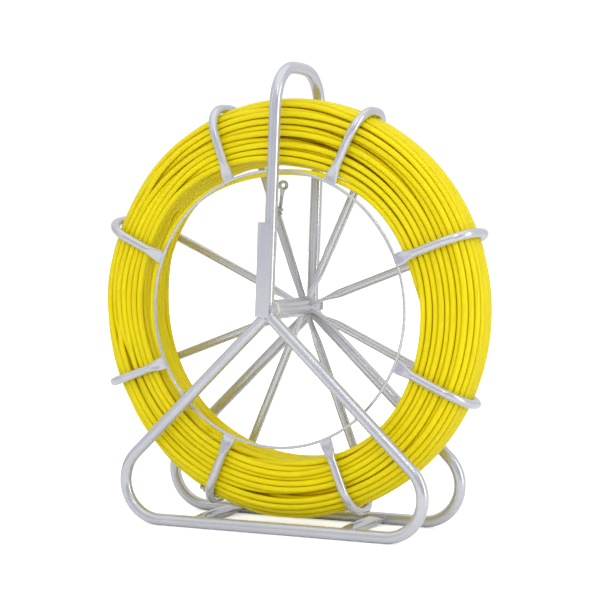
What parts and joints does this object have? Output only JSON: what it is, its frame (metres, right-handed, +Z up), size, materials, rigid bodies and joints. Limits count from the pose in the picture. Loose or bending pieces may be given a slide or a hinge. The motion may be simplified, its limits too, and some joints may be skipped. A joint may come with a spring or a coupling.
{
  "type": "duct rodder reel",
  "caption": "Free-standing tubular steel cage reel on a tube stand with carrying handle, holding a coil of stiff jacketed rod for pulling cable through ducts.",
  "frame": {"origin": "on the ground under the axle, half way between the front of the axle plate and the rear end of the axle's thread, which is the bottom centre of the bounding box", "axes": "+Z up, axle along Y, -Y is the front with the thin ring, +X to the right seen from the front"},
  "size_m": [0.557, 0.169, 0.622],
  "materials": {
    "frame_paint": "satin silver-grey paint",
    "zinc_steel": "bright zinc plating",
    "bush_nylon": "natural nylon",
    "rod_jacket": "satin yellow jacket"
  },
  "bodies": {
    "stand": {"front_a_frame": "frame_paint", "rear_a_frame": "frame_paint", "carrying_handle": "frame_paint", "front_axle_plate": "frame_paint", "front_axle_boss": "frame_paint", "rear_axle_boss": "frame_paint", "axle": "zinc_steel", "axle_washer": "zinc_steel", "axle_nut": "zinc_steel", "left_crossbar": "frame_paint", "right_crossbar": "frame_paint"},
    "reel": {"hub_sleeve": "frame_paint", "front_hub_bush": "bush_nylon", "rear_hub_bush": "bush_nylon", "front_ring": "frame_paint", "spoke_hook_1": "frame_paint", "spoke_hook_2": "frame_paint", "spoke_hook_3": "frame_paint", "spoke_hook_4": "frame_paint", "spoke_hook_5": "frame_paint", "spoke_hook_6": "frame_paint", "spoke_hook_7": "frame_paint", "spoke_hook_8": "frame_paint", "rod_coil": "rod_jacket", "rod_anchor_eye": "zinc_steel"}
  },
  "joints": [
    {"name": "reel_spin", "type": "hinge", "parent": "stand", "child": "reel", "pos_m": [0, -0.004, 0.295], "axis": [0, 1, 0], "continuous": true}
  ]
}
